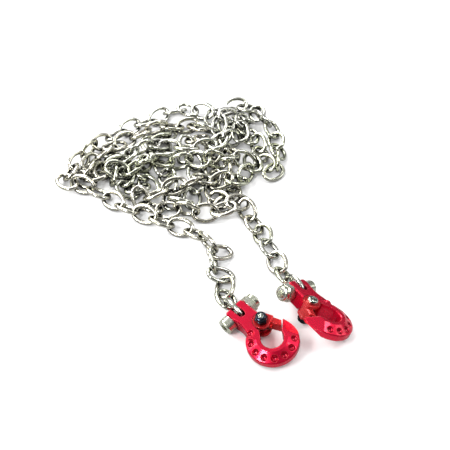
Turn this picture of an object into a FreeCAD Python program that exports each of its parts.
import FreeCAD, Part
import math
import os

# A chain with a hook at each end, lying in a heap on a table; z is up.
# Each hook has a bowl with a sprung latch, and a clevis with a cross bolt.
#
# Hook frame: origin on the bowl centre at mid thickness, +X toward the
# clevis, +Y toward the latch side, +Z the face that carries the latch
# screw head. All sizes are in millimetres.

os.makedirs("parts", exist_ok=True)
Vec = FreeCAD.Vector

# Hook plate and bowl
PLATE_T = 5.8
PLATE_HZ = PLATE_T / 2.0
CUT_OVER = 1.0             # how far cutters reach past each plate face
BOWL_R = 8.7
BOWL_FLAT_R = 5.2          # flat ring around the hole, then a cone
RIM_HZ = 1.25              # half height of the rim where the cone ends
RIM_BEVEL_R = 0.3
RIM_BEVEL_Z = 0.35
HOLE_R = 3.75
HOLE_CHAMFER = 0.3

# Dimples on both faces of the bowl
DIMPLE_CIRCLE_R = 7.07
DIMPLE_COUNT = 8
DIMPLE_START = -28.0       # degrees
DIMPLE_STEP = -27.7
DIMPLE_BALL_R = 1.2
DIMPLE_LIFT = 0.2          # height of the ball centre above the cone
FIRST_DIMPLE_LIFT = 0.3    # the same above the shank's flat face

# Shank and clevis
SHANK_END_X = 17.8
SHANK_Y_MIN = -3.6
SHANK_Y_MAX = 3.9
SHANK_CORNER = 1.0
CORNER_ARC_IN = 0.3        # arc middle's distance from both corner sides
SHANK_CHAMFER = 0.4
CLEVIS_SLOT_W = 2.5
CLEVIS_SLOT_X = 12.35      # bottom of the slot
BOLT_X = 15.5
BOLT_HOLE_D = 3.1

# Latch pivot, body lug and latch
PIVOT_X, PIVOT_Y = 6.9, 2.4
PIVOT_HOLE_D = 2.12
LUG_R = 2.0
LUG_HZ = 1.85
CHEEK_IN = 0.95            # z of the inside face of each lug cheek
SPRING_SLOT_R = LUG_R + 0.06
POCKET_R = 3.1
EAR_R = 2.9
EAR_IN = 1.92              # z of the ear's inside and outside faces
EAR_OUT = 2.85
EAR_T = EAR_OUT - EAR_IN
ARM_HZ = 2.15
ARM_CHAMFER = 0.35
ARM_END_X = 2.62
LUG_CLEARANCE = 0.14
OUTER_NORMAL = (0.3412, 0.94)   # direction across the latch's outer edge
OUTER_SLOPE = 0.3630            # rise of that edge per mm toward -X

# M3 clevis bolt and lock nut
BOLT_D = 3.0
BOLT_L = 12.0
BOLT_HEAD_D, BOLT_HEAD_H = 5.5, 3.0
BOLT_TURN = 20             # degrees about its own axis
BOLT_NUT_TURN = 12

# M2 latch screw and lock nut
SCREW_D = 2.0
SCREW_L = 8.9
SCREW_HEAD_D, SCREW_HEAD_H = 3.8, 1.3
SCREW_GAP = 0.03           # between the ears and the head or nut

# Latch spring, a left-handed coil with a straight leg at each end
SPRING_WIRE_D = 0.36
SPRING_R = 1.45            # mean coil radius
SPRING_PITCH = 0.40
SPRING_FULL_TURNS = 3.0
SPRING_TOP_ANGLE = 222.7   # degrees, where the +Z leg leaves the coil
SPRING_LOW_ANGLE = 270.0   # degrees, where the -Z leg leaves the coil
SPRING_TOP_LEG = 3.05
SPRING_LOW_LEG = 3.0

# Chain link
LINK_L = 10.7              # outer length
LINK_W = 7.7               # outer width
LINK_WIRE_D = 1.5
LINK_END_R = 2.6           # end radius of the wire centre line

END_LINKS = 6              # links at each end that have a file of their own
RUNS = 10                  # files that share the remaining links

# Poses are position x, y, z and quaternion x, y, z, w. They are measured
# from a table corner of reference; ORIGIN is the point that becomes 0, 0, 0.
ORIGIN = (-11.8740, 3.6249, -0.0024)

HOOK_POSES = {
    "a": (15.3194, -56.7929, 3.8662, 0.384101, 0.917981, 0.092175, 0.035786),
    "b": (33.3186, -48.8537, 4.7634, 0.104647, 0.179967, 0.870131, 0.446690),
}

# Link poses from hook a to hook b: centre and quaternion of the link frame
# (x along the link, y across it, z normal to its plane).
LINK_POSES = [
    (3.079, -43.893, 3.970, 0.28351, 0.58174, 0.68677, 0.33098),
    (0.326, -37.982, 2.574, 0.05341, 0.17032, 0.79765, 0.57610),
    (0.033, -32.272, 2.054, -0.14976, -0.14679, 0.68460, 0.69810),
    (-1.471, -26.819, 2.261, 0.16104, 0.01741, 0.98672, -0.01205),
    (-4.078, -21.458, 3.907, 0.47046, 0.65447, -0.36423, -0.46655),
    (-1.792, -16.102, 2.325, -0.00551, 0.17081, 0.24814, 0.95353),
    (-5.978, -12.507, 3.856, 0.31187, 0.67475, -0.60717, -0.28068),
    (-10.257, -7.111, 2.212, 0.03406, 0.22928, 0.92120, 0.31250),
    (-16.295, -3.314, 2.161, -0.03787, -0.22497, 0.96077, 0.15772),
    (-23.279, -1.050, 2.465, 0.08481, 0.26615, 0.93252, 0.22885),
    (-29.727, 2.806, 2.813, -0.07275, -0.34163, 0.91420, 0.20553),
    (-36.474, 6.035, 2.509, 0.05442, 0.28083, 0.91796, 0.27482),
    (-42.009, 10.911, 2.138, -0.07897, -0.20986, 0.91210, 0.34321),
    (-48.141, 14.862, 2.284, 0.10130, 0.22249, 0.93797, 0.24588),
    (-54.435, 18.708, 3.252, -0.04841, -0.43351, 0.87910, 0.19213),
    (-60.729, 20.609, 2.814, -0.01829, -0.03606, 0.93125, 0.36212),
    (-59.868, 26.271, 2.863, -0.30079, -0.18048, 0.62894, 0.69383),
    (-57.679, 32.987, 2.525, 0.26310, 0.12119, 0.47186, 0.83273),
    (-54.196, 39.164, 3.829, -0.56882, -0.30304, 0.35957, 0.67478),
    (-49.587, 44.858, 2.575, 0.22178, 0.17704, 0.35388, 0.89120),
    (-44.419, 50.091, 1.949, -0.17929, -0.06723, 0.34452, 0.91904),
    (-39.230, 54.991, 2.205, 0.22527, 0.04873, 0.37915, 0.89618),
    (-32.831, 57.714, 2.138, -0.22060, -0.04029, 0.17515, 0.95866),
    (-27.612, 62.010, 2.287, 0.23324, 0.02364, 0.38170, 0.89406),
    (-21.069, 64.621, 2.699, -0.32287, -0.04981, 0.13260, 0.93579),
    (-15.727, 65.946, 2.614, 0.00586, -0.00450, -0.32983, 0.94401),
    (-9.419, 64.613, 3.104, 0.90304, -0.12633, 0.06172, -0.40590),
    (-4.752, 61.862, 1.893, 0.16481, 0.03623, 0.51418, 0.84092),
    (0.083, 65.159, 1.922, -0.17825, -0.05543, 0.29479, 0.93715),
    (4.661, 69.096, 2.370, 0.26110, 0.02839, 0.16171, 0.95125),
    (10.075, 68.069, 1.668, -0.13193, 0.04257, -0.08491, 0.98670),
    (13.472, 64.389, 2.063, 0.15462, -0.14049, -0.61872, 0.75733),
    (15.799, 58.765, 3.665, -0.47332, 0.27651, -0.34578, 0.76154),
    (19.270, 53.178, 2.263, -0.15406, 0.18519, -0.63774, 0.73162),
    (20.767, 46.291, 2.001, 0.74473, -0.63699, 0.13425, -0.14696),
    (21.143, 39.137, 2.338, -0.21388, 0.13659, -0.65678, 0.71010),
    (20.695, 32.033, 3.872, -0.49953, 0.51681, -0.49995, 0.48314),
    (18.924, 27.276, 1.990, 0.08924, -0.17408, 0.90821, -0.36999),
    (16.209, 31.813, 2.654, -0.18583, -0.24094, 0.87154, 0.38450),
    (14.029, 37.767, 1.979, 0.09638, 0.15605, 0.63662, 0.74905),
    (13.383, 43.883, 2.753, -0.13715, -0.29967, 0.76558, 0.55252),
    (10.271, 48.360, 2.478, -0.01389, 0.00009, 0.77621, 0.63032),
    (6.971, 52.198, 2.779, 0.46769, 0.81451, -0.29804, -0.17031),
    (4.372, 56.897, 1.768, -0.03655, 0.13681, 0.97182, 0.18848),
    (0.138, 55.715, 2.377, -0.07979, 0.21917, -0.67275, 0.70214),
    (-0.107, 48.980, 2.036, -0.10241, 0.17271, 0.72342, -0.66056),
    (0.126, 41.824, 3.097, -0.33971, 0.22900, -0.50598, 0.75904),
    (2.252, 35.150, 3.035, 0.00111, 0.00484, 0.71298, -0.70116),
    (1.918, 28.046, 3.882, -0.50198, 0.50569, -0.49051, 0.50170),
    (2.747, 21.109, 2.192, -0.10630, 0.18947, -0.65750, 0.72146),
    (2.971, 14.009, 2.184, 0.75095, -0.62487, 0.18574, -0.10539),
    (-0.088, 8.998, 1.827, 0.04771, -0.16092, 0.91339, -0.37088),
    (-2.213, 10.835, 2.608, -0.16042, -0.24159, 0.91578, 0.27792),
    (-4.467, 15.625, 1.970, 0.12657, 0.14473, 0.68428, 0.70342),
    (-4.397, 22.711, 2.140, -0.12715, -0.17864, 0.66948, 0.70973),
    (-4.877, 28.495, 2.066, 0.15915, 0.13689, 0.67152, 0.71063),
    (-3.919, 34.932, 2.738, -0.26127, -0.21025, 0.59060, 0.73398),
    (-4.669, 40.335, 1.955, 0.13984, 0.12139, 0.75040, 0.63451),
    (-8.231, 43.458, 2.947, 0.33842, 0.86196, -0.35166, -0.13723),
    (-11.351, 47.614, 1.793, -0.02503, 0.16193, 0.97005, -0.17932),
    (-15.413, 43.795, 2.237, -0.09100, 0.20060, -0.66718, 0.71158),
    (-15.739, 37.047, 2.058, -0.08638, 0.15879, 0.70618, -0.68457),
    (-12.320, 31.885, 3.255, 0.81818, -0.37020, 0.20604, -0.38869),
    (-11.426, 25.603, 2.024, -0.13072, 0.15225, -0.67019, 0.71454),
    (-10.724, 18.474, 2.573, 0.72496, -0.63117, 0.24603, -0.12464),
    (-12.396, 12.175, 2.020, -0.01210, 0.15758, -0.68399, 0.71217),
    (-16.625, 9.577, 3.258, 0.11748, 0.88657, -0.44356, -0.05875),
    (-20.039, 11.470, 2.203, 0.04048, -0.08845, 0.69659, 0.71085),
    (-20.316, 18.539, 3.348, -0.29632, -0.36488, 0.68507, 0.55653),
    (-22.431, 23.756, 2.421, -0.08855, -0.08273, 0.71918, 0.68417),
    (-24.621, 28.757, 2.392, 0.67042, 0.69407, -0.22146, -0.14058),
    (-24.206, 35.745, 1.965, -0.12304, -0.12480, 0.67032, 0.72108),
    (-24.632, 42.882, 2.691, 0.61865, 0.72806, -0.13473, -0.26277),
    (-23.340, 49.126, 2.208, -0.13956, 0.04955, 0.57334, 0.80582),
    (-26.336, 45.968, 3.575, -0.20607, 0.81983, -0.51814, 0.13019),
    (-30.322, 43.447, 2.646, -0.01722, 0.03990, -0.63567, 0.77074),
    (-30.228, 36.418, 3.271, -0.58472, 0.68258, -0.37172, 0.23241),
    (-31.896, 31.999, 2.337, 0.07300, -0.04707, -0.67987, 0.72817),
    (-32.188, 25.622, 3.052, 0.32627, -0.16972, 0.66907, -0.64582),
    (-29.303, 19.443, 2.134, 0.14346, 0.07544, -0.43158, 0.88739),
    (-33.531, 17.965, 1.734, -0.07174, 0.98723, -0.12835, 0.06135),
    (-37.258, 17.046, 1.915, 0.09981, -0.07797, 0.94421, 0.30402),
    (-37.373, 22.809, 2.385, -0.22480, -0.13012, 0.64977, 0.71437),
    (-38.661, 27.902, 1.734, 0.09561, 0.11955, 0.81133, 0.56419),
    (-40.441, 33.666, 1.967, -0.08541, -0.16527, 0.73719, 0.64957),
    (-43.656, 36.652, 1.713, 0.05190, 0.13796, 0.97722, 0.15270),
    (-45.711, 32.957, 2.466, -0.57502, 0.76814, -0.23023, 0.16220),
    (-47.986, 27.781, 2.311, 0.18355, -0.16959, 0.74055, -0.62380),
    (-50.000, 24.424, 2.095, -0.02362, 0.98410, -0.13998, 0.10674),
    (-54.143, 23.135, 1.645, 0.03052, -0.11171, 0.94179, 0.31562),
    (-53.579, 27.669, 3.112, -0.30760, -0.25995, 0.47925, 0.77983),
    (-52.910, 32.492, 2.360, 0.22335, 0.11958, 0.55959, 0.78910),
    (-48.302, 37.407, 3.002, -0.29262, -0.21768, 0.33161, 0.87007),
    (-44.376, 41.894, 2.780, -0.08600, 0.02907, 0.24990, 0.96401),
    (-40.578, 45.845, 2.723, 0.89185, 0.30736, -0.10974, -0.31319),
    (-34.470, 49.927, 2.585, -0.26955, -0.11629, 0.31186, 0.90364),
    (-28.109, 52.670, 3.842, -0.64334, -0.12054, 0.13917, 0.74311),
    (-22.054, 55.179, 2.068, -0.20646, 0.02765, -0.03079, 0.97758),
    (-15.503, 56.217, 1.970, 0.96502, 0.18365, 0.00932, -0.18685),
    (-11.002, 55.190, 2.028, -0.16081, -0.04960, -0.29422, 0.94081),
    (-7.647, 52.388, 3.583, -0.47791, 0.14773, -0.04446, 0.86476),
    (-2.339, 53.548, 4.184, 0.00654, -0.24103, 0.61546, 0.75038),
    (1.198, 58.618, 5.233, 0.92087, 0.16040, -0.22687, -0.27348),
    (7.581, 58.536, 3.172, -0.39647, 0.02057, -0.30398, 0.86601),
    (7.095, 54.471, 5.876, 0.30680, -0.20018, 0.80378, -0.46876),
    (6.245, 48.194, 5.194, -0.14036, -0.10865, 0.71169, -0.67970),
    (2.557, 44.720, 4.886, 0.38739, -0.38886, 0.83382, -0.05892),
    (-2.683, 40.572, 6.378, -0.05663, 0.03486, 0.86845, -0.49130),
    (-7.838, 37.690, 5.581, -0.02335, -0.33354, 0.93488, -0.11916),
    (-15.314, 37.634, 5.617, 0.01833, 0.24800, 0.96854, -0.00905),
    (-21.989, 38.177, 5.435, -0.05053, -0.15049, 0.97990, 0.12079),
    (-26.432, 39.048, 6.263, 0.18028, 0.03027, 0.94891, -0.25719),
    (-32.875, 36.929, 6.335, 0.02227, 0.80239, -0.52731, 0.27861),
    (-37.889, 33.809, 5.294, -0.16190, 0.11144, 0.88921, -0.41314),
    (-41.633, 29.458, 4.949, 0.09336, -0.12119, 0.95033, -0.27106),
    (-42.883, 23.549, 3.625, -0.39942, 0.36646, 0.59731, -0.59109),
    (-41.406, 24.689, 5.351, 0.92609, -0.15595, -0.08704, -0.33236),
    (-35.230, 25.546, 5.911, -0.13841, -0.15784, 0.37369, 0.90349),
    (-30.424, 27.603, 7.050, -0.40657, 0.03910, 0.48026, 0.77623),
    (-24.467, 30.762, 5.093, 0.02600, 0.12607, 0.01860, 0.99151),
    (-17.301, 30.925, 4.376, 0.71283, 0.16741, 0.13874, -0.66678),
    (-10.252, 30.188, 5.931, 0.24589, -0.06006, -0.18185, 0.95019),
    (-3.689, 29.917, 6.163, 0.79588, -0.17910, -0.17521, -0.55118),
    (1.873, 31.075, 6.285, -0.28637, 0.09326, 0.48500, 0.82102),
    (7.716, 31.566, 4.322, 0.89978, -0.16186, -0.21214, -0.34524),
    (10.925, 30.677, 3.799, 0.08796, 0.06409, -0.57115, 0.81360),
    (8.049, 25.065, 3.316, 0.22514, -0.40281, 0.77556, -0.43077),
    (4.587, 19.646, 4.385, 0.12871, 0.13770, 0.95056, -0.24680),
    (-1.458, 19.134, 4.918, -0.08340, -0.19425, 0.94849, -0.23595),
    (-7.764, 19.795, 5.029, 0.08753, 0.14657, 0.97938, 0.10799),
    (-12.895, 17.004, 5.529, -0.17152, 0.84613, -0.47158, 0.17959),
    (-19.135, 14.938, 5.638, -0.04958, -0.28072, 0.94938, -0.13197),
    (-26.084, 12.582, 3.943, -0.12770, 0.95013, -0.23308, 0.16313),
    (-31.774, 11.703, 2.836, 0.23610, 0.08443, -0.55466, 0.79339),
    (-27.665, 7.330, 1.980, -0.19127, 0.04605, -0.22943, 0.95324),
    (-21.134, 5.735, 2.207, 0.20753, -0.07823, -0.06473, 0.97294),
    (-14.236, 4.669, 3.870, -0.66072, 0.07685, -0.10591, 0.73914),
    (-7.253, 3.324, 3.026, 0.38723, -0.02300, 0.01946, 0.92149),
    (-0.452, 4.088, 4.193, -0.00599, -0.11491, 0.08876, 0.98938),
    (4.650, 7.452, 4.365, 0.19248, 0.17764, 0.13252, 0.95595),
    (8.165, 4.930, 2.981, 0.77637, -0.52386, 0.08261, -0.34058),
    (10.568, -1.921, 2.021, -0.16747, 0.11375, -0.57616, 0.79186),
    (13.763, -6.962, 2.112, 0.77484, -0.59297, 0.13085, -0.17578),
    (15.623, -14.003, 2.145, -0.18424, 0.13002, -0.56171, 0.79601),
    (18.364, -20.718, 2.113, 0.78487, -0.57993, 0.12325, -0.18019),
    (20.370, -27.857, 2.749, -0.29328, 0.10539, -0.58871, 0.74585),
    (23.276, -34.246, 4.687, 0.75158, -0.35629, 0.32352, -0.45114),
]


# ------------------------------------------------------------------
# Shape helpers
# ------------------------------------------------------------------
def prism(outline, z_low, z_high):
    """Prism from a closed outline.

    An entry (x, y) is a line to that point; (xm, ym, x, y) is an arc
    through the first point to the second. The first entry is the start.
    """
    start = Vec(outline[0][0], outline[0][1], z_low)
    last = start
    edges = []
    for entry in outline[1:]:
        end = Vec(entry[-2], entry[-1], z_low)
        if len(entry) == 2:
            edges.append(Part.LineSegment(last, end).toShape())
        else:
            middle = Vec(entry[0], entry[1], z_low)
            edges.append(Part.Arc(last, middle, end).toShape())
        last = end
    edges.append(Part.LineSegment(last, start).toShape())
    return Part.Face(Part.Wire(edges)).extrude(Vec(0, 0, z_high - z_low))


def cylinder(radius, height, base, axis=(0, 0, 1)):
    return Part.makeCylinder(radius, height, Vec(*base), Vec(*axis))


def plate_cutter(radius, x, y):
    """Cylinder along Z that passes right through the hook plate."""
    return cylinder(radius, PLATE_T + 2 * CUT_OVER, (x, y, -PLATE_HZ - CUT_OVER))


def revolve(profile, z=0.0):
    """Solid of revolution about Z from (radius, height) points, raised by z."""
    points = [Vec(radius, 0, height) for radius, height in profile]
    points.append(points[0])
    solid = Part.Face(Part.makePolygon(points)).revolve(Vec(0, 0, 0), Vec(0, 0, 1), 360)
    solid.Placement = FreeCAD.Placement(Vec(0, 0, z), FreeCAD.Rotation())
    return solid


def hexagon(flats, height, z=0.0, turn=0.0):
    """Hexagonal prism along Z, sized across its flats."""
    radius = flats / math.sqrt(3.0)
    angles = [math.radians(60 * i + turn) for i in range(7)]
    points = [Vec(radius * math.cos(a), radius * math.sin(a), 0) for a in angles]
    solid = Part.Face(Part.makePolygon(points)).extrude(Vec(0, 0, height))
    solid.Placement = FreeCAD.Placement(Vec(0, 0, z), FreeCAD.Rotation())
    return solid


def chamfer_faces(solid, size, half_height):
    """Chamfer the outline edges of the faces at z = +-half_height."""
    edges = []
    for edge in solid.Edges:
        box = edge.BoundBox
        for z in (-half_height, half_height):
            if abs(box.ZMin - z) < 1e-4 and abs(box.ZMax - z) < 1e-4:
                edges.append(edge)
    return solid.makeChamfer(size, edges)


def half_space(corners, outward, size=14.0):
    """Box based on the plane of three corners, on its outward side."""
    first, second, third = [Vec(*corner) for corner in corners]
    normal = (second - first).cross(third - first)
    normal.normalize()
    if normal.dot(Vec(*outward)) < 0:
        normal = normal * -1
    box = Part.makeBox(size, size, size / 2, Vec(-size / 2, -size / 2, 0))
    box.Placement = FreeCAD.Placement((first + second + third) * (1 / 3.0),
                                      FreeCAD.Rotation(Vec(0, 0, 1), normal))
    return box


def place(shape, position, axis, turn=0.0):
    """Copy turned about its own Z, with Z then laid along axis."""
    spin = FreeCAD.Placement(Vec(0, 0, 0), FreeCAD.Rotation(Vec(0, 0, 1), turn))
    seat = FreeCAD.Placement(Vec(*position), FreeCAD.Rotation(Vec(0, 0, 1), Vec(*axis)))
    copy = shape.copy()
    copy.Placement = seat.multiply(spin)
    return copy


def pose(shape, values):
    """Copy moved from its own frame to its place in the lay-out."""
    position = Vec(*values[:3]) - Vec(*ORIGIN)
    placement = FreeCAD.Placement(position, FreeCAD.Rotation(*values[3:]))
    copy = shape.copy()
    copy.Placement = placement.multiply(copy.Placement)
    return copy


# ------------------------------------------------------------------
# Hook body
# ------------------------------------------------------------------
def bowl():
    return revolve([
        (HOLE_R, -PLATE_HZ + HOLE_CHAMFER), (HOLE_R + HOLE_CHAMFER, -PLATE_HZ),
        (BOWL_FLAT_R, -PLATE_HZ), (BOWL_R - RIM_BEVEL_R, -RIM_HZ),
        (BOWL_R, -RIM_HZ + RIM_BEVEL_Z), (BOWL_R, RIM_HZ - RIM_BEVEL_Z),
        (BOWL_R - RIM_BEVEL_R, RIM_HZ), (BOWL_FLAT_R, PLATE_HZ),
        (HOLE_R + HOLE_CHAMFER, PLATE_HZ), (HOLE_R, PLATE_HZ - HOLE_CHAMFER)])


def shank():
    """Shank, waisted on the -Y side and flared into the bowl."""
    corner_x = SHANK_END_X - SHANK_CORNER
    arc_x = SHANK_END_X - CORNER_ARC_IN
    outline = [
        (SHANK_END_X, SHANK_Y_MIN + SHANK_CORNER),
        (arc_x, SHANK_Y_MIN + CORNER_ARC_IN, corner_x, SHANK_Y_MIN),
        (14.2, SHANK_Y_MIN), (10.9, -3.25, 8.3, -3.75), (6.9, -4.35, 5.4, -5.35),
        (3.0, -4.2), (1.6, -4.4), (2.85, -2.5), (4.8, -0.95), (6.4, -0.45),
        (6.4, SHANK_Y_MAX), (corner_x, SHANK_Y_MAX),
        (arc_x, SHANK_Y_MAX - CORNER_ARC_IN, SHANK_END_X, SHANK_Y_MAX - SHANK_CORNER)]
    return chamfer_faces(prism(outline, -PLATE_HZ, PLATE_HZ), SHANK_CHAMFER, PLATE_HZ)


def pivot_lug():
    """Round lug on the pivot with the root that joins it to the shank."""
    lug = cylinder(LUG_R, 2 * LUG_HZ, (PIVOT_X, PIVOT_Y, -LUG_HZ))
    root = prism([(6.4, -0.45), (9.6, -1.2), (9.6, 3.9), (6.9, 3.9), (5.35, 1.2)],
                 -LUG_HZ, LUG_HZ)
    return lug.fuse(root)


def spring_slot():
    """Slot between the lug cheeks, open toward the bowl."""
    slot = cylinder(SPRING_SLOT_R, 2 * CHEEK_IN, (PIVOT_X, PIVOT_Y, -CHEEK_IN))
    mouth = [(3.0, -0.2), (PIVOT_X, PIVOT_Y - SPRING_SLOT_R),
             (PIVOT_X, PIVOT_Y + SPRING_SLOT_R), (3.0, 5.5)]
    return slot.fuse(prism(mouth, -CHEEK_IN, CHEEK_IN))


def cut_clevis(body):
    slot_centre_x = CLEVIS_SLOT_X + CLEVIS_SLOT_W / 2
    body = body.cut(Part.makeBox(
        8, CLEVIS_SLOT_W, PLATE_T + 2 * CUT_OVER,
        Vec(slot_centre_x, -CLEVIS_SLOT_W / 2, -PLATE_HZ - CUT_OVER)))
    body = body.cut(plate_cutter(CLEVIS_SLOT_W / 2, slot_centre_x, 0))
    return body.cut(cylinder(BOLT_HOLE_D / 2, 12, (BOLT_X, -6, 0), (0, 1, 0)))


def cut_dimples(body):
    slope = (PLATE_HZ - RIM_HZ) / (BOWL_R - RIM_BEVEL_R - BOWL_FLAT_R)
    normal_z = 1.0 / math.sqrt(1 + slope * slope)
    radius = DIMPLE_CIRCLE_R + DIMPLE_LIFT * slope * normal_z
    cone_z = PLATE_HZ - (DIMPLE_CIRCLE_R - BOWL_FLAT_R) * slope
    for i in range(DIMPLE_COUNT):
        angle = math.radians(DIMPLE_START + DIMPLE_STEP * i)
        z = cone_z + DIMPLE_LIFT * normal_z
        if i == 0:
            # the first one is on the shank's flat face
            z = PLATE_HZ + FIRST_DIMPLE_LIFT
        for side in (-1, 1):
            centre = Vec(radius * math.cos(angle), radius * math.sin(angle), side * z)
            body = body.cut(Part.makeSphere(DIMPLE_BALL_R, centre))
    return body


def hook_body():
    shank_solid = shank()
    body = bowl().fuse(shank_solid)

    # hole through the flare, and the throat opened toward the latch side
    body = body.cut(plate_cutter(HOLE_R, 0, 0))
    throat = prism([(-0.9, 3.9), (2.1, 7.1), (4.6, 9.8), (12.5, 9.8), (12.5, 4.35),
                    (9.3, 4.35), (8.9, 3.0), (8.0, 0.6), (6.4, -0.45), (4.8, -0.95),
                    (2.8, -2.5), (0.5, -0.5)],
                   -PLATE_HZ - CUT_OVER, PLATE_HZ + CUT_OVER)
    # the shank stays whole outside the pocket circle
    kept = prism([(6.4, -0.45), (10.2, -1.0), (10.2, SHANK_Y_MAX), (8.6, SHANK_Y_MAX),
                  (6.9, SHANK_Y_MAX - 0.2), (6.2, 1.0)], -PLATE_HZ, PLATE_HZ)
    body = body.cut(throat).fuse(pivot_lug()).fuse(kept.common(shank_solid))
    for pocket_z in (-PLATE_HZ - CUT_OVER, LUG_HZ):
        body = body.cut(cylinder(POCKET_R, PLATE_HZ + CUT_OVER - LUG_HZ,
                                 (PIVOT_X, PIVOT_Y, pocket_z)))
    body = body.cut(spring_slot())
    # groove for the spring's -Z leg
    body = body.cut(Part.makeBox(3.6, 0.56, 0.8, Vec(PIVOT_X, 0.66, -1.05)))
    body = body.cut(plate_cutter(PIVOT_HOLE_D / 2, PIVOT_X, PIVOT_Y))
    body = cut_clevis(body)

    # flats that bevel the nose of the tip on both faces
    for side in (-1, 1):
        corners = [(2.2, 6.3, side * 1.95), (-5.0, 6.75, side * 1.38),
                   (-0.6, 8.5, side * 0.25)]
        body = body.cut(half_space(corners, (0, 1, side)))
    return cut_dimples(body)


# ------------------------------------------------------------------
# Latch: two ears and a bevelled arm, closed position
# ------------------------------------------------------------------
def latch():
    edge_x = PIVOT_X + EAR_R * OUTER_NORMAL[0]
    edge_y = PIVOT_Y + EAR_R * OUTER_NORMAL[1]

    def outer_edge(x):
        return (x, edge_y + (edge_x - x) * OUTER_SLOPE)

    def ear(z_low):
        disc = cylinder(EAR_R, EAR_T, (PIVOT_X, PIVOT_Y, z_low))
        web = prism([(edge_x, edge_y), outer_edge(5.2), (4.3, 3.9), (4.95, 0.9),
                     (PIVOT_X, PIVOT_Y)], z_low, z_low + EAR_T)
        return disc.fuse(web)

    arm = prism([(edge_x, edge_y), outer_edge(ARM_END_X), (0.86, 5.32), (4.75, 3.70),
                 (5.0, 2.9), (PIVOT_X, PIVOT_Y + 1.0)], -ARM_HZ, ARM_HZ)
    arm = chamfer_faces(arm, ARM_CHAMFER, ARM_HZ)
    ears = ear(-EAR_OUT).fuse(ear(EAR_IN)).removeSplitter()
    # ramp from the ear face down to the arm face
    for side in (-1, 1):
        corners = [(5.3, 6.0, side * EAR_OUT), (4.5, 3.9, side * EAR_OUT),
                   (3.9, 4.4, side * (ARM_HZ - 0.1))]
        ears = ears.cut(half_space(corners, (-0.6, 0.2, side), size=9.0))
    body = arm.fuse(ears)
    body = body.cut(cylinder(LUG_R + LUG_CLEARANCE, 2 * EAR_IN,
                             (PIVOT_X, PIVOT_Y, -EAR_IN)))
    body = body.cut(cylinder(PIVOT_HOLE_D / 2, 8, (PIVOT_X, PIVOT_Y, -4)))
    return body.removeSplitter()


def latch_spring():
    turns = (SPRING_LOW_ANGLE - SPRING_TOP_ANGLE) / 360.0 + SPRING_FULL_TURNS
    half_height = SPRING_PITCH * turns / 2.0
    slope = SPRING_PITCH / (2 * math.pi * SPRING_R)
    wire_r = SPRING_WIRE_D / 2.0
    top = math.radians(SPRING_TOP_ANGLE)
    low = top + math.radians(360 * turns)

    helix = Part.makeHelix(SPRING_PITCH, SPRING_PITCH * turns, SPRING_R, 0, True)
    section = Part.Wire([Part.makeCircle(wire_r, Vec(SPRING_R, 0, 0), Vec(0, -1, slope))])
    coil = Part.Wire(helix.Edges).makePipeShell([section], True, True)
    coil.rotate(Vec(0, 0, 0), Vec(0, 0, 1), math.degrees(low))
    coil.translate(Vec(PIVOT_X, PIVOT_Y, -half_height))

    # each leg runs on from its coil end along the tangent
    legs = []
    for angle, side, length in ((top, 1, SPRING_TOP_LEG), (low, -1, SPRING_LOW_LEG)):
        end = Vec(PIVOT_X + SPRING_R * math.cos(angle),
                  PIVOT_Y + SPRING_R * math.sin(angle), side * half_height)
        tangent = Vec(side * math.sin(angle), -side * math.cos(angle), side * slope)
        legs.append(Part.makeCylinder(wire_r, length, end, tangent))
    return coil.fuse(legs)


# ------------------------------------------------------------------
# Screws and lock nuts: seat at z = 0, shank or collar toward +Z
# ------------------------------------------------------------------
def socket_head(diameter, height):
    radius = diameter / 2.0
    return revolve([(0, 0), (radius, 0), (radius, -height + 0.35),
                    (radius - 0.12, -height + 0.1), (radius - 0.35, -height), (0, -height)])


def button_head(diameter, height):
    radius = diameter / 2.0
    top_r = 1.15               # flat top inside the rounded edge
    rim_h = 0.25
    profile = [(0, 0), (radius, 0), (radius, -rim_h)]
    for i in range(1, 7):
        angle = math.radians(90 * i / 6.0)
        profile.append((top_r + (radius - top_r) * math.cos(angle),
                        -rim_h - (height - rim_h) * math.sin(angle)))
    profile.append((0, -height))
    return revolve(profile)


def screw(head, head_height, hex_flats, hex_depth, diameter, length, pitch, groove):
    """Hex socket screw; grooves stand for the thread past the plain neck."""
    head = head.cut(hexagon(hex_flats, hex_depth, z=-head_height, turn=15))
    cone = revolve([(0, 0), (hex_flats / 2.0, 0), (0, hex_flats / 3.6)],
                   z=-head_height + hex_depth)
    head = head.cut(cone)
    radius = diameter / 2.0
    z = 1.2
    profile = [(0, 0), (radius, 0), (radius, z)]
    while z + pitch < length - 0.4:
        profile += [(radius - groove, z + pitch * 0.5), (radius, z + pitch)]
        z += pitch
    profile += [(radius, length - 0.35), (radius - 0.35, length), (0, length)]
    return head.fuse(revolve(profile))


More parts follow.
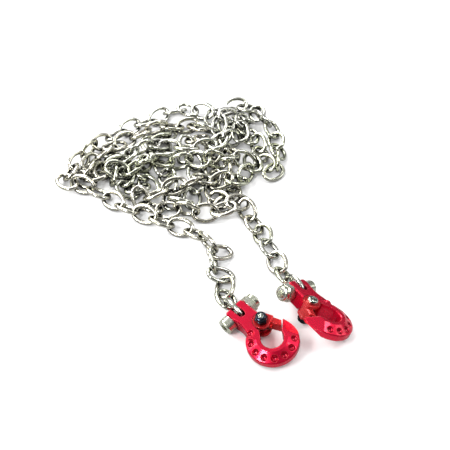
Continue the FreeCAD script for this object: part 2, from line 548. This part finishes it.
def lock_nut(bore, flats, hex_height, full_height, wall, lip):
    """Hexagon with a rolled collar, and the nylon ring the collar traps."""
    corner_r = flats / math.sqrt(3.0)
    bevel = 0.42 * (corner_r - flats / 2.0) + 0.12
    limit_r = corner_r + 0.02
    face_r = flats / 2.0 - 0.05
    nut = hexagon(flats, hex_height)
    nut = nut.common(revolve([
        (0, 0), (face_r, 0), (limit_r, bevel), (limit_r, hex_height - bevel),
        (face_r, hex_height), (0, hex_height)]))
    collar_r = flats / 2.0 - 0.12
    nut = nut.fuse(revolve([
        (0, hex_height - 0.3), (collar_r, hex_height - 0.3),
        (collar_r, full_height - 0.5), (collar_r - 0.16, full_height - 0.18),
        (collar_r - 0.5, full_height), (0, full_height)]))
    ring_r = collar_r - wall
    ring_low = hex_height - 0.1
    ring_high = full_height - lip
    nut = nut.cut(cylinder(ring_r, ring_high - ring_low, (0, 0, ring_low)))
    nut = nut.cut(cylinder(ring_r - 0.32, full_height, (0, 0, ring_low)))
    nut = nut.cut(cylinder(bore / 2.0, full_height + 2, (0, 0, -1)))

    gap = 0.02
    ring = revolve([(bore / 2.0, ring_low + gap), (ring_r - gap, ring_low + gap),
                    (ring_r - gap, ring_high - gap), (bore / 2.0, ring_high - gap)])
    return nut, ring


# ------------------------------------------------------------------
# Chain link: four-arc oval of round wire in the XY plane
# ------------------------------------------------------------------
def link():
    half_l = (LINK_L - LINK_WIRE_D) / 2.0
    half_w = (LINK_W - LINK_WIRE_D) / 2.0
    end_x = half_l - LINK_END_R
    rise = half_w - LINK_END_R
    # each side arc is centred this far beyond the middle, tangent to both ends
    offset = (end_x * end_x - rise ** 2) / (2.0 * rise)
    side_r = half_w + offset
    joint = math.atan2(offset, end_x)

    def end_point(side, angle):
        return Vec(side * end_x + LINK_END_R * math.cos(angle),
                   LINK_END_R * math.sin(angle), 0)

    joints = [end_point(1, -joint), end_point(1, joint),
              end_point(-1, math.pi - joint), end_point(-1, math.pi + joint)]
    middles = [end_point(1, 0), Vec(0, side_r - offset, 0),
               end_point(-1, math.pi), Vec(0, offset - side_r, 0)]
    path = Part.Wire([Part.Arc(joints[i], middles[i], joints[(i + 1) % 4]).toShape()
                      for i in range(4)])
    tangent = Vec(math.sin(joint), math.cos(joint), 0)
    section = Part.Wire([Part.makeCircle(LINK_WIRE_D / 2.0, joints[0], tangent)])
    return path.makePipeShell([section], True, False)


# ------------------------------------------------------------------
# Assembly
# ------------------------------------------------------------------
def hook_pieces():
    """All pieces of one hook, by name, in the hook frame."""
    bolt = screw(socket_head(BOLT_HEAD_D, BOLT_HEAD_H), BOLT_HEAD_H,
                 hex_flats=2.5, hex_depth=1.5, diameter=BOLT_D, length=BOLT_L,
                 pitch=0.5, groove=0.09)
    bolt_nut, bolt_ring = lock_nut(bore=BOLT_D, flats=5.5, hex_height=2.4,
                                   full_height=4.0, wall=0.42, lip=0.3)
    pin = screw(button_head(SCREW_HEAD_D, SCREW_HEAD_H), SCREW_HEAD_H,
                hex_flats=1.3, hex_depth=0.7, diameter=SCREW_D, length=SCREW_L,
                pitch=0.4, groove=0.07)
    pin_nut, pin_ring = lock_nut(bore=SCREW_D, flats=4.0, hex_height=1.6,
                                 full_height=2.8, wall=0.32, lip=0.24)
    across, down = (0, 1, 0), (0, 0, -1)
    bolt_nut_seat = (BOLT_X, SHANK_Y_MAX, 0)
    pin_nut_seat = (PIVOT_X, PIVOT_Y, -EAR_OUT - SCREW_GAP)
    return {
        "hook_body": hook_body(),
        "latch": latch(),
        "latch_spring": latch_spring(),
        "clevis_bolt": place(bolt, (BOLT_X, SHANK_Y_MIN, 0), across, BOLT_TURN),
        "clevis_nut": place(bolt_nut, bolt_nut_seat, across, BOLT_NUT_TURN),
        "clevis_nut_insert": place(bolt_ring, bolt_nut_seat, across),
        "latch_screw": place(pin, (PIVOT_X, PIVOT_Y, EAR_OUT + SCREW_GAP), down),
        "latch_nut": place(pin_nut, pin_nut_seat, down),
        "latch_nut_insert": place(pin_ring, pin_nut_seat, down),
    }


def write(name, shape):
    shape.exportStep(os.path.join("parts", name + ".step"))


def write_hooks():
    pieces = hook_pieces()
    for tag, values in HOOK_POSES.items():
        for name, shape in pieces.items():
            write(name + "_" + tag, pose(shape, values))


def write_chain():
    one = link()
    for i in range(END_LINKS):
        write("link_a%d" % (i + 1), pose(one, LINK_POSES[i]))
        write("link_b%d" % (i + 1), pose(one, LINK_POSES[-1 - i]))
    heap = LINK_POSES[END_LINKS:-END_LINKS]
    per_run = len(heap) / float(RUNS)
    for i in range(RUNS):
        run = heap[int(round(i * per_run)):int(round((i + 1) * per_run))]
        write("chain_run_%02d" % (i + 1), Part.makeCompound([pose(one, p) for p in run]))


write_hooks()
write_chain()
